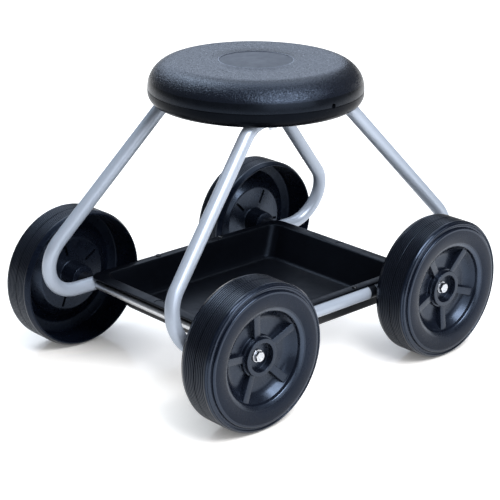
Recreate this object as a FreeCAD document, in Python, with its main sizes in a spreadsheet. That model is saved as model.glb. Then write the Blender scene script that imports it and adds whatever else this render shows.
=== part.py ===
import FreeCAD, Part
import math
import os
from types import SimpleNamespace

import Sketcher

# Rolling garden seat: a round hollow seat on two bent tube frames, four wheels on two axles, a tool tray.
# +X is the rolling direction, +Y runs along the axles to the left, +Z is up, the origin lies on the floor.

# Driving sizes in millimetres, angles in degrees
DRIVING_SIZES = {
    # wheels and where they stand
    "wheel_radius": 101.5,
    "wheel_width": 56.0,
    "wheelbase": 363.0,
    "tread_edge": 7.5,
    "tread_groove_width": 1.6,
    "tread_groove_depth": 1.0,
    "shoulder_drop": 4.0,
    "shoulder_step": 2.5,
    "side_groove_width": 2.2,
    "side_groove_depth": 2.0,
    "side_ring_draft": 0.8,
    "side_ring_drop": 1.5,
    "side_crown": 3.2,
    "dish_depth": 5.5,
    "lip_radius": 64.5,
    "lip_round": 5.0,
    "lip_roll_width": 2.15,
    "lip_roll_depth": 3.4,
    "rim_draft": 0.55,
    "rim_foot_depth": 12.7,
    "bowl_angle": 40.0,
    "bowl_round": 9.0,
    "web_depth": 21.0,
    "web_wall": 4.0,
    "tyre_wall": 6.0,
    "tyre_draft": 1.5,
    "rim_wall": 4.5,
    "hub_radius": 26.0,
    "hub_foot_radius": 28.4,
    "hub_foot_depth": 15.6,
    "hub_pocket_radius": 19.7,
    "hub_front_depth": 10.0,
    "hub_pocket_depth": 10.0,
    "boss_radius": 18.5,
    "boss_draft": 2.0,
    "boss_end_depth": 4.0,
    "spoke_count": 5,
    "spoke_hub_width": 9.8,
    "spoke_rim_width": 11.0,
    "spoke_draft": 1.5,
    "spoke_hub_depth": 15.2,
    "spoke_rim_depth": 9.8,
    "spoke_slot_width": 4.0,
    "spoke_slot_wall": 4.0,
    "spoke_slot_start": 29.0,
    "spoke_slot_end": 51.0,
    "front_right_rest_angle": 52.85,
    "front_left_rest_angle": 8.0,
    "rear_right_rest_angle": 26.75,
    "rear_left_rest_angle": 40.0,
    # axles and what sits on them
    "axle_diameter": 12.0,
    "bush_diameter": 16.0,
    "spacer_diameter": 20.0,
    "spacer_length": 14.0,
    "axle_bolt_diameter": 8.0,
    "axle_bolt_reach": 20.0,
    "axle_bolt_head_width": 13.0,
    "axle_bolt_head_height": 5.3,
    "axle_washer_diameter": 17.5,
    "axle_washer_thickness": 1.6,
    # side frames
    "tube_diameter": 20.0,
    "tube_wall": 1.5,
    "rail_spacing": 287.2,
    "rail_straight": 425.0,
    "top_run_straight": 126.5,
    "bend_radius": 53.5,
    "frame_lean": 12.0,
    "joint_centre": 91.5,
    "joint_length": 13.0,
    "joint_spigot": 14.0,
    # seat
    "seat_height": 427.4,
    "seat_radius": 150.8,
    "seat_thickness": 59.3,
    "seat_top_round": 38.0,
    "seat_bottom_round": 16.0,
    "seat_wall": 4.0,
    "seat_channel_depth": 12.0,
    "seat_channel_corner": 9.5,
    "parting_line_width": 1.2,
    "parting_line_depth": 0.5,
    "ring_mark_radius": 52.6,
    "ring_mark_width": 1.0,
    "ring_mark_depth": 0.6,
    "blow_hole_diameter": 4.0,
    "blow_hole_depth": 2.5,
    "seat_bolt_spacing": 100.0,
    "seat_bolt_diameter": 6.0,
    "seat_bolt_head_width": 10.0,
    "seat_bolt_head_height": 4.0,
    "seat_washer_diameter": 14.0,
    "seat_washer_thickness": 1.2,
    "insert_diameter": 10.0,
    "insert_length": 12.0,
    "insert_boss_diameter": 20.0,
    # tray
    "tray_opening": 338.0,
    "tray_depth": 47.0,
    "tray_wall": 3.0,
    "tray_side_angle": 14.0,
    "tray_end_angle": 26.0,
    "tray_corner": 18.0,
    "tray_floor_round": 9.0,
    "side_flange_over_rail": 4.0,
    "end_flange_width": 19.0,
    "tray_screw_spacing": 124.0,
    "tray_screw_inset": 2.0,
    "tray_screw_diameter": 3.8,
    "tray_screw_length": 9.0,
    "tray_screw_head_diameter": 8.0,
    "tray_screw_head_height": 2.2,
    "gate_mark_diameter": 14.0,
    "gate_mark_depth": 0.6,
    # clearances
    "running_clearance": 0.05,
    "hole_clearance": 0.1,
    "channel_clearance": 0.5,
    "contact_gap": 0.1,
    "wheel_float": 0.3,
    "tray_rail_gap": 1.0,
}

document = FreeCAD.newDocument("rolling_garden_seat")
sheet = document.addObject("Spreadsheet::Sheet", "Sizes")
for row, (alias, value) in enumerate(DRIVING_SIZES.items(), start=1):
    sheet.set(f"A{row}", alias.replace("_", " "))
    sheet.set(f"B{row}", str(value))
    sheet.setAlias(f"B{row}", alias)
document.recompute()


class Size:
    """A number that keeps the spreadsheet formula it was worked out with."""

    def __init__(self, number, formula):
        self.number = number
        self.formula = formula

    def __add__(self, other):
        other = as_size(other)
        return Size(self.number + other.number, f"({self.formula} + {other.formula})")

    def __sub__(self, other):
        other = as_size(other)
        return Size(self.number - other.number, f"({self.formula} - {other.formula})")

    def __mul__(self, other):
        other = as_size(other)
        return Size(self.number * other.number, f"({self.formula} * {other.formula})")

    def __truediv__(self, other):
        other = as_size(other)
        return Size(self.number / other.number, f"({self.formula} / {other.formula})")

    def __neg__(self):
        return Size(-self.number, f"(-{self.formula})")


def as_size(value):
    return value if isinstance(value, Size) else Size(float(value), f"({float(value)})")


def square_root(value):
    return Size(math.sqrt(value.number), f"sqrt({value.formula})")


def cosine(angle):
    return Size(math.cos(math.radians(angle.number)), f"cos({angle.formula})")


def sine(angle):
    return Size(math.sin(math.radians(angle.number)), f"sin({angle.formula})")


def tangent(angle):
    return Size(math.tan(math.radians(angle.number)), f"tan({angle.formula})")


def bind(item, name, value):
    item.setExpression(name, as_size(value).formula)


size = SimpleNamespace(**{alias: Size(float(sheet.get(alias)), f"Sizes.{alias}") for alias in DRIVING_SIZES})
ZERO = as_size(0)

# Least volume that a cut has to take away, in cubic millimetres
SMALLEST_CUT = 1.0

# Places worked out from the driving sizes
axle_height = size.wheel_radius
axle_x = size.wheelbase / 2
wheel_half = size.wheel_width / 2
axle_radius = size.axle_diameter / 2
tube_radius = size.tube_diameter / 2
rail_y = size.rail_spacing / 2
rail_end = size.rail_straight / 2
seat_floor = size.seat_height - size.seat_thickness
channel_roof = seat_floor + size.seat_channel_depth
top_run_height = channel_roof - size.contact_gap - tube_radius
top_run_rise = (top_run_height - axle_height) / cosine(size.frame_lean)
top_run_y = rail_y - (top_run_height - axle_height) * tangent(size.frame_lean)
top_run_end = size.top_run_straight / 2

# Each leg is the common tangent of its lower and its upper bend
leg_run = rail_end - top_run_end
leg_climb = top_run_rise - size.bend_radius * 2
leg_length = square_root(leg_run * leg_run + leg_climb * leg_climb)
bend_reach = size.bend_radius * leg_climb / leg_length
bend_rise = size.bend_radius * leg_run / leg_length
leg_foot_x = rail_end + bend_reach
leg_foot_rise = size.bend_radius + bend_rise
leg_head_x = top_run_end + bend_reach
leg_head_rise = top_run_rise - size.bend_radius + bend_rise

# Tray, hubs and fasteners
flange_floor = axle_height + tube_radius + size.contact_gap
flange_top = flange_floor + size.tray_wall
hub_front = wheel_half - size.hub_front_depth
pocket_floor = hub_front - size.hub_pocket_depth
boss_end = wheel_half - size.boss_end_depth
spacer_start = rail_y + tube_radius + size.contact_gap
wheel_y = spacer_start + size.spacer_length + size.wheel_float + boss_end
axle_half = wheel_y + pocket_floor + size.wheel_float
seat_bolt_x = size.seat_bolt_spacing / 2
tray_screw_x = size.tray_screw_spacing / 2
tray_screw_y = rail_y - size.tray_screw_inset


def new_body(label):
    return document.addObject("PartDesign::Body", label)


def origin_plane(body, role):
    return next(item for item in body.Origin.OriginFeatures if item.Role == role)


def new_sketch(body, name, role, lift=None):
    """Empty sketch on one of the body's own planes, lifted along the plane's normal."""
    sketch = body.newObject("Sketcher::SketchObject", name)
    sketch.AttachmentSupport = [(origin_plane(body, role), "")]
    sketch.MapMode = "FlatFace"
    if lift is not None:
        sketch.AttachmentOffset = FreeCAD.Placement(FreeCAD.Vector(0, 0, lift.number), FreeCAD.Rotation())
        bind(sketch, "AttachmentOffset.Base.z", lift)
    return sketch


def pin_point(sketch, curve, end, x, y, name):
    """Drive one point of a curve by its distances from the sketch's origin."""
    for kind, axis, value in (("DistanceX", -2, x), ("DistanceY", -1, y)):
        value = as_size(value)
        if value.number == 0:
            sketch.addConstraint(Sketcher.Constraint("PointOnObject", curve, end, axis))
            continue
        index = sketch.addConstraint(Sketcher.Constraint(kind, -1, 1, curve, end, value.number))
        sketch.renameConstraint(index, f"{name}_{kind}")
        bind(sketch, f"Constraints.{name}_{kind}", value)


def arc_between(start, end, radius):
    """Arc shorter than a half turn; a positive radius turns left on the way, a negative one right."""
    chord = end - start
    left = FreeCAD.Vector(-chord.y, chord.x, 0).normalize()
    reach = math.sqrt(max(0.0, radius * radius - chord.Length ** 2 / 4))
    centre = (start + end) * 0.5 + left * math.copysign(reach, radius)
    first, last = (start, end) if radius > 0 else (end, start)
    angles = [math.atan2(point.y - centre.y, point.x - centre.x) for point in (first, last)]
    if angles[1] < angles[0]:
        angles[1] += 2 * math.pi
    circle = Part.Circle(centre, FreeCAD.Vector(0, 0, 1), abs(radius))
    return Part.ArcOfCircle(circle, angles[0], angles[1])


def draw_outline(sketch, corners, closed=True):
    """Draw lines and arcs through corners (x, y), where (x, y, radius) is reached by an arc."""
    points = [FreeCAD.Vector(as_size(c[0]).number, as_size(c[1]).number, 0) for c in corners]
    count = len(corners)
    curves = []
    for start in range(count if closed else count - 1):
        stop = (start + 1) % count
        arc = corners[stop][2] if len(corners[stop]) == 3 else None
        if arc is None:
            curve = sketch.addGeometry(Part.LineSegment(points[start], points[stop]))
            curves.append((curve, 1, 2))
            continue
        curve = sketch.addGeometry(arc_between(points[start], points[stop], arc.number))
        curves.append((curve, 1, 2) if arc.number > 0 else (curve, 2, 1))
        index = sketch.addConstraint(Sketcher.Constraint("Radius", curve, abs(arc.number)))
        sketch.renameConstraint(index, f"arc{stop}")
        bind(sketch, f"Constraints.arc{stop}", arc if arc.number > 0 else -arc)
    for place, (curve, first, last) in enumerate(curves):
        pin_point(sketch, curve, first, corners[place][0], corners[place][1], f"corner{place}")
        following = curves[(place + 1) % len(curves)]
        if closed or place + 1 < len(curves):
            sketch.addConstraint(Sketcher.Constraint("Coincident", curve, last, following[0], following[1]))
        else:
            pin_point(sketch, curve, last, corners[-1][0], corners[-1][1], "tail")
    return sketch


def draw_circle(sketch, x, y, radius, name):
    centre = FreeCAD.Vector(as_size(x).number, as_size(y).number, 0)
    circle = sketch.addGeometry(Part.Circle(centre, FreeCAD.Vector(0, 0, 1), radius.number))
    pin_point(sketch, circle, 3, x, y, name)
    index = sketch.addConstraint(Sketcher.Constraint("Radius", circle, radius.number))
    sketch.renameConstraint(index, f"{name}_radius")
    bind(sketch, f"Constraints.{name}_radius", radius)


def draw_rounded_rectangle(sketch, half_x, half_y, corner, centre_y=ZERO):
    low, high = centre_y - half_y, centre_y + half_y
    draw_outline(sketch, [
        (half_x, low + corner, corner),
        (half_x, high - corner),
        (half_x - corner, high, corner),
        (-half_x + corner, high),
        (-half_x, high - corner, corner),
        (-half_x, low + corner),
        (-half_x + corner, low, corner),
        (half_x - corner, low),
    ])


def pad(body, sketch, length, inwards=False):
    """Extrude a sketch along its normal, or against it."""
    feature = body.newObject("PartDesign::Pad", f"{sketch.Name}_pad")
    feature.Profile = sketch
    feature.Length = length.number
    bind(feature, "Length", length)
    feature.Reversed = inwards
    document.recompute()
    return feature


def revolve(body, sketch, axis="V_Axis"):
    feature = body.newObject("PartDesign::Revolution", f"{sketch.Name}_turned")
    feature.Profile = sketch
    feature.ReferenceAxis = (sketch, [axis])
    feature.Angle = 360.0
    document.recompute()
    return feature


def keep_cut(body, feature, volume_before):
    """Stop if a cutting feature took nothing away."""
    document.recompute()
    if body.Shape.Volume > volume_before - SMALLEST_CUT:
        raise RuntimeError(f"{feature.Name} cuts nothing")
    return feature


def pocket(body, sketch, depth, along_normal=False):
    """Cut a sketch into the body against its normal, or along it."""
    volume_before = body.Shape.Volume
    feature = body.newObject("PartDesign::Pocket", f"{sketch.Name}_pocket")
    feature.Profile = sketch
    feature.Length = depth.number
    bind(feature, "Length", depth)
    feature.Reversed = along_normal
    return keep_cut(body, feature, volume_before)


def groove(body, sketch):
    volume_before = body.Shape.Volume
    feature = body.newObject("PartDesign::Groove", f"{sketch.Name}_groove")
    feature.Profile = sketch
    feature.ReferenceAxis = (sketch, ["V_Axis"])
    feature.Angle = 360.0
    return keep_cut(body, feature, volume_before)


def loft(body, kind, first, *others):
    feature = body.newObject(f"PartDesign::{kind}", f"{first.Name}_loft")
    feature.Profile = first
    feature.Sections = list(others)
    feature.Ruled = True
    document.recompute()
    return feature


def mirror_to_four(body, features):
    """Repeat features at the other three corners, as separate solids where they don't meet."""
    corners = body.newObject("PartDesign::MultiTransform", f"{body.Name}_corners")
    corners.Originals = features
    mirrors = []
    for role in ("YZ_Plane", "XZ_Plane"):
        mirror = body.newObject("PartDesign::Mirrored", f"{body.Name}_{role[:2]}")
        mirror.MirrorPlane = (origin_plane(body, role), [""])
        mirrors.append(mirror)
    corners.Transformations = mirrors
    body.Tip = corners
    document.recompute()


def group_of_four(label, build):
    """One node of four like solids; build makes the one at the front right."""
    body = new_body(label)
    body.AllowCompound = True
    mirror_to_four(body, build(body))
    if len(body.Shape.Solids) != 4:
        raise RuntimeError(f"{label} has {len(body.Shape.Solids)} solids")
    return body


def place(body, x, y, z):
    body.Placement = FreeCAD.Placement(
        FreeCAD.Vector(as_size(x).number, as_size(y).number, as_size(z).number), body.Placement.Rotation)
    for axis, value in zip("xyz", (x, y, z)):
        bind(body, f"Placement.Base.{axis}", value)


def hexagon(sketch, x, y, width):
    """Six corners around a centre, two of its flats level."""
    arm = width / math.sqrt(3)
    corners = []
    for step in range(6):
        turn = math.radians(60 * step)
        corners.append((x + arm * round(math.cos(turn), 6), y + arm * round(math.sin(turn), 6)))
    draw_outline(sketch, corners)


# Seat
def make_seat():
    body = new_body("seat")
    top_round, bottom_round = size.seat_top_round, size.seat_bottom_round
    parting_level = size.seat_height - top_round
    outer = new_sketch(body, "seat_outline", "XZ_Plane")
    draw_outline(outer, [
        (ZERO, seat_floor),
        (size.seat_radius - bottom_round, seat_floor),
        (size.seat_radius, seat_floor + bottom_round, bottom_round),
        (size.seat_radius, parting_level - size.parting_line_width),
        (size.seat_radius - size.parting_line_depth, parting_level - size.parting_line_width / 2),
        (size.seat_radius, parting_level),
        (size.seat_radius - top_round, size.seat_height, top_round),
        (ZERO, size.seat_height),
    ])
    revolve(body, outer)

    wall = size.seat_wall
    diagonal = math.sqrt(0.5)
    inner_round = top_round - wall
    hollow = new_sketch(body, "seat_hollow", "XZ_Plane")
    draw_outline(hollow, [
        (ZERO, seat_floor + wall),
        (size.seat_radius - bottom_round, seat_floor + wall),
        (size.seat_radius - wall, seat_floor + bottom_round),
        (size.seat_radius - wall, parting_level),
        (size.seat_radius - top_round + inner_round * diagonal, parting_level + inner_round * diagonal),
        (size.seat_radius - top_round, size.seat_height - wall),
        (ZERO, size.seat_height - wall),
    ])
    groove(body, hollow)

    # Two channels in the underside take the top runs of the tubes
    channel_half = tube_radius + size.channel_clearance
    corner = size.seat_channel_corner
    for name, y in (("right", -top_run_y), ("left", top_run_y)):
        block = new_sketch(body, f"seat_{name}_block", "XY_Plane", seat_floor + wall / 2)
        draw_rounded_rectangle(block, leg_head_x + wall, channel_half + wall, corner + wall, y)
        pad(body, block, size.seat_channel_depth + wall / 2)
        channel = new_sketch(body, f"seat_{name}_channel", "XY_Plane", seat_floor - wall)
        draw_rounded_rectangle(channel, leg_head_x, channel_half, corner, y)
        pocket(body, channel, size.seat_channel_depth + wall, along_normal=True)

    bosses = new_sketch(body, "seat_bosses", "XY_Plane", channel_roof + wall / 2)
    draw_four_circles(bosses, seat_bolt_x, top_run_y, size.insert_boss_diameter / 2)
    pad(body, bosses, wall / 2 + size.insert_length)
    holes = new_sketch(body, "seat_insert_holes", "XY_Plane", channel_roof)
    draw_four_circles(holes, seat_bolt_x, top_run_y, size.insert_diameter / 2 + size.running_clearance)
    pocket(body, holes, size.insert_length + size.contact_gap, along_normal=True)

    mark = new_sketch(body, "seat_ring_mark", "XZ_Plane")
    half = size.ring_mark_width / 2
    draw_outline(mark, [
        (size.ring_mark_radius - half, size.seat_height),
        (size.ring_mark_radius, size.seat_height - size.ring_mark_depth),
        (size.ring_mark_radius + half, size.seat_height),
    ])
    groove(body, mark)

    blow_hole = new_sketch(body, "seat_blow_hole", "XZ_Plane", size.seat_radius)
    draw_circle(blow_hole, ZERO, parting_level, size.blow_hole_diameter / 2, "hole")
    pocket(body, blow_hole, size.blow_hole_depth)
    return body


def draw_four_circles(sketch, x, y, radius):
    for number, (along, across) in enumerate(((x, y), (-x, y), (-x, -y), (x, -y))):
        draw_circle(sketch, along, across, radius, f"circle{number}")


def make_seat_inserts():
    def build(body):
        ring = new_sketch(body, "insert_ring", "XY_Plane", channel_roof)
        draw_circle(ring, seat_bolt_x, -top_run_y, size.insert_diameter / 2, "outside")
        bore = size.seat_bolt_diameter / 2 + size.running_clearance
        draw_circle(ring, seat_bolt_x, -top_run_y, bore, "bore")
        return [pad(body, ring, size.insert_length)]
    return group_of_four("seat_inserts", build)


def make_seat_washers():
    def build(body):
        level = top_run_height - tube_radius - size.contact_gap - size.seat_washer_thickness
        ring = new_sketch(body, "seat_washer_ring", "XY_Plane", level)
        draw_circle(ring, seat_bolt_x, -top_run_y, size.seat_washer_diameter / 2, "outside")
        bore = size.seat_bolt_diameter / 2 + size.hole_clearance
        draw_circle(ring, seat_bolt_x, -top_run_y, bore, "bore")
        return [pad(body, ring, size.seat_washer_thickness)]
    return group_of_four("seat_washers", build)


def make_seat_bolts():
    def build(body):
        level = top_run_height - tube_radius - size.contact_gap - size.seat_washer_thickness
        head = new_sketch(body, "seat_bolt_head", "XY_Plane", level)
        hexagon(head, seat_bolt_x, -top_run_y, size.seat_bolt_head_width)
        shank = new_sketch(body, "seat_bolt_shank", "XY_Plane", level)
        draw_circle(shank, seat_bolt_x, -top_run_y, size.seat_bolt_diameter / 2, "shank")
        reach = channel_roof + size.insert_length - level
        return [pad(body, head, size.seat_bolt_head_height, inwards=True), pad(body, shank, reach)]
    return group_of_four("seat_bolts", build)


# Side frames: one bent tube each, its two ends meet at a plug in the bottom rail
def make_side_frame(label, half_turn):
    body = new_body(label)
    bend = size.bend_radius
    joint_front = size.joint_centre + size.joint_length / 2
    joint_back = size.joint_centre - size.joint_length / 2

    path = new_sketch(body, f"{label}_path", "XZ_Plane")
    path.AttachmentOffset = FreeCAD.Placement(
        FreeCAD.Vector(0, axle_height.number, rail_y.number),
        FreeCAD.Rotation(FreeCAD.Vector(1, 0, 0), -size.frame_lean.number))
    bind(path, "AttachmentOffset.Base.y", axle_height)
    bind(path, "AttachmentOffset.Base.z", rail_y)
    bind(path, "AttachmentOffset.Rotation.Angle", -size.frame_lean)
    draw_outline(path, [
        (joint_front, ZERO),
        (rail_end, ZERO),
        (leg_foot_x, leg_foot_rise, bend),
        (leg_head_x, leg_head_rise),
        (top_run_end, top_run_rise, bend),
        (-top_run_end, top_run_rise),
        (-leg_head_x, leg_head_rise, bend),
        (-leg_foot_x, leg_foot_rise),
        (-rail_end, ZERO, bend),
        (joint_back, ZERO),
    ], closed=False)

    ring = new_sketch(body, f"{label}_ring", "YZ_Plane", joint_front)
    draw_circle(ring, -rail_y, axle_height, tube_radius, "outside")
    draw_circle(ring, -rail_y, axle_height, tube_radius - size.tube_wall, "inside")
    tube = body.newObject("PartDesign::AdditivePipe", f"{label}_tube")
    tube.Profile = ring
    tube.Spine = (path, [f"Edge{number + 1}" for number in range(9)])
    document.recompute()

    axle_holes = new_sketch(body, f"{label}_axle_holes", "XZ_Plane", rail_y + size.tube_diameter)
    for number, x in enumerate((axle_x, -axle_x)):
        draw_circle(axle_holes, x, axle_height, axle_radius + size.hole_clearance, f"axle{number}")
    pocket(body, axle_holes, size.tube_diameter * 2)
    bolt_holes = new_sketch(body, f"{label}_bolt_holes", "XY_Plane", top_run_height + size.tube_diameter)
    for number, x in enumerate((seat_bolt_x, -seat_bolt_x)):
        bolt_hole = size.seat_bolt_diameter / 2 + size.hole_clearance
        draw_circle(bolt_holes, x, -top_run_y, bolt_hole, f"bolt{number}")
    pocket(body, bolt_holes, size.tube_diameter * 2)
    screw_holes = new_sketch(body, f"{label}_screw_holes", "XY_Plane", axle_height + size.tube_diameter)
    for number, x in enumerate((tray_screw_x, -tray_screw_x)):
        screw_hole = size.tray_screw_diameter / 2 + size.hole_clearance
        draw_circle(screw_holes, x, -tray_screw_y, screw_hole, f"screw{number}")
    pocket(body, screw_holes, size.tube_diameter)

    body.Placement = FreeCAD.Placement(
        FreeCAD.Vector(), FreeCAD.Rotation(FreeCAD.Vector(0, 0, 1), 180 if half_turn else 0))
    return body


def make_rail_joint(label, side):
    """Plug between the ends of one tube loop, flush with the tube; side is -1 right, 1 left."""
    body = new_body(label)
    half = size.joint_length / 2
    spigot_end = half + size.joint_spigot
    spigot_radius = tube_radius - size.tube_wall - size.running_clearance
    collar_half = half - size.contact_gap
    profile = new_sketch(body, f"{label}_profile", "XZ_Plane")
    draw_outline(profile, [
        (-spigot_end, ZERO),
        (-spigot_end, spigot_radius),
        (-collar_half, spigot_radius),
        (-collar_half, tube_radius),
        (collar_half, tube_radius),
        (collar_half, spigot_radius),
        (spigot_end, spigot_radius),
        (spigot_end, ZERO),
    ])
    revolve(body, profile, "H_Axis")
    place(body, size.joint_centre * -side, rail_y * side, axle_height)
    return body


# Tray
def make_tray():
    body = new_body("tray")
    wall = size.tray_wall
    side_lean, end_lean = tangent(size.tray_side_angle), tangent(size.tray_end_angle)
    floor_top = flange_top - size.tray_depth
    floor_under = floor_top - wall
    outer_y = rail_y - tube_radius - size.tray_rail_gap
    outer_x = size.tray_opening / 2 + wall

    def outside_at(level):
        drop_y = (axle_height - level) * side_lean
        drop_x = (flange_top - level) * end_lean
        return outer_x - drop_x, outer_y - drop_y

    def cavity_at(level):
        x, y = outside_at(level)
        return x - wall, y - wall

    outer_bottom = new_sketch(body, "tray_outer_bottom", "XY_Plane", floor_under)
    draw_rounded_rectangle(outer_bottom, *outside_at(floor_under), size.tray_corner)
    outer_top = new_sketch(body, "tray_outer_top", "XY_Plane", flange_floor)
    draw_rounded_rectangle(outer_top, *outside_at(flange_floor), size.tray_corner)
    loft(body, "AdditiveLoft", outer_bottom, outer_top)

    flange = new_sketch(body, "tray_flange", "XY_Plane", flange_floor)
    flange_x = size.tray_opening / 2 + size.end_flange_width
    draw_rounded_rectangle(flange, flange_x, rail_y + size.side_flange_over_rail, size.tray_corner)
    pad(body, flange, wall)

    volume_before = body.Shape.Volume
    cavity_bottom = new_sketch(body, "tray_cavity_bottom", "XY_Plane", floor_top)
    draw_rounded_rectangle(cavity_bottom, *cavity_at(floor_top), size.tray_corner - wall)
    cavity_top = new_sketch(body, "tray_cavity_top", "XY_Plane", flange_top)
    draw_rounded_rectangle(cavity_top, *cavity_at(flange_top), size.tray_corner - wall)
    keep_cut(body, loft(body, "SubtractiveLoft", cavity_bottom, cavity_top), volume_before)

    hollow_edges = [
        f"Edge{number}" for number, edge in enumerate(body.Shape.Edges, start=1)
        if all(abs(vertex.Z - floor_top.number) < 1e-4 for vertex in edge.Vertexes)
    ]
    hollowed = body.Tip
    round_off = body.newObject("PartDesign::Fillet", "tray_floor_round_off")
    round_off.Base = (hollowed, hollow_edges)
    round_off.Radius = size.tray_floor_round.number
    bind(round_off, "Radius", size.tray_floor_round)
    document.recompute()

    screw_holes = new_sketch(body, "tray_screw_holes", "XY_Plane", flange_top)
    screw_hole = size.tray_screw_diameter / 2 + size.hole_clearance
    draw_four_circles(screw_holes, tray_screw_x, tray_screw_y, screw_hole)
    pocket(body, screw_holes, wall)
    marks = new_sketch(body, "tray_gate_marks", "XY_Plane", flange_top)
    mark_x = (size.tray_opening + size.end_flange_width) / 2
    for number, x in enumerate((mark_x, -mark_x)):
        draw_circle(marks, x, ZERO, size.gate_mark_diameter / 2, f"mark{number}")
    pocket(body, marks, size.gate_mark_depth)
    return body


def make_tray_screws():
    def build(body):
        head = new_sketch(body, "tray_screw_head", "XY_Plane", flange_top)
        draw_circle(head, tray_screw_x, -tray_screw_y, size.tray_screw_head_diameter / 2, "head")
        shank = new_sketch(body, "tray_screw_shank", "XY_Plane", flange_top)
        draw_circle(shank, tray_screw_x, -tray_screw_y, size.tray_screw_diameter / 2, "shank")
        return [pad(body, head, size.tray_screw_head_height),
                pad(body, shank, size.tray_screw_length, inwards=True)]
    return group_of_four("tray_screws", build)


# Axles and their fittings
def make_axle(label, x):
    body = new_body(label)
    tapped_radius = size.axle_bolt_diameter / 2 + size.running_clearance
    tapped_end = axle_half - size.axle_bolt_reach - size.contact_gap
    profile = new_sketch(body, f"{label}_profile", "XY_Plane")
    draw_outline(profile, [
        (ZERO, -tapped_end),
        (tapped_radius, -tapped_end),
        (tapped_radius, -axle_half),
        (axle_radius, -axle_half),
        (axle_radius, axle_half),
        (tapped_radius, axle_half),
        (tapped_radius, tapped_end),
        (ZERO, tapped_end),
    ])
    revolve(body, profile)
    place(body, x, ZERO, axle_height)
    return body


def make_wheel_spacers():
    def build(body):
        ring = new_sketch(body, "spacer_ring", "XZ_Plane", spacer_start)
        draw_circle(ring, axle_x, axle_height, size.spacer_diameter / 2, "outside")
        draw_circle(ring, axle_x, axle_height, axle_radius + size.running_clearance, "bore")
        return [pad(body, ring, size.spacer_length)]
    return group_of_four("wheel_spacers", build)


def make_axle_washers():
    def build(body):
        ring = new_sketch(body, "axle_washer_ring", "XZ_Plane", axle_half)
        draw_circle(ring, axle_x, axle_height, size.axle_washer_diameter / 2, "outside")
        bore = size.axle_bolt_diameter / 2 + size.hole_clearance
        draw_circle(ring, axle_x, axle_height, bore, "bore")
        return [pad(body, ring, size.axle_washer_thickness)]
    return group_of_four("axle_washers", build)


def make_axle_bolts():
    def build(body):
        seat_face = axle_half + size.axle_washer_thickness
        head = new_sketch(body, "axle_bolt_head", "XZ_Plane", seat_face)
        hexagon(head, axle_x, axle_height, size.axle_bolt_head_width)
        shank = new_sketch(body, "axle_bolt_shank", "XZ_Plane", seat_face)
        draw_circle(shank, axle_x, axle_height, size.axle_bolt_diameter / 2, "shank")
        reach = size.axle_bolt_reach + size.axle_washer_thickness
        return [pad(body, head, size.axle_bolt_head_height), pad(body, shank, reach, inwards=True)]
    return group_of_four("axle_bolts", build)


# Wheels: the axis is local Z, which points away from the frame
def place_on_axle(body, x, side, turn):
    """Stand a wheel piece on its axle end; side is -1 right, 1 left, turn is its angle at rest."""
    upright = FreeCAD.Rotation(FreeCAD.Vector(1, 0, 0), -90 * side)
    spin = FreeCAD.Rotation(FreeCAD.Vector(0, 0, 1), turn.number)
    body.Placement = FreeCAD.Placement(FreeCAD.Vector(), upright * spin)
    place(body, x, wheel_y * side, axle_height)


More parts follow.
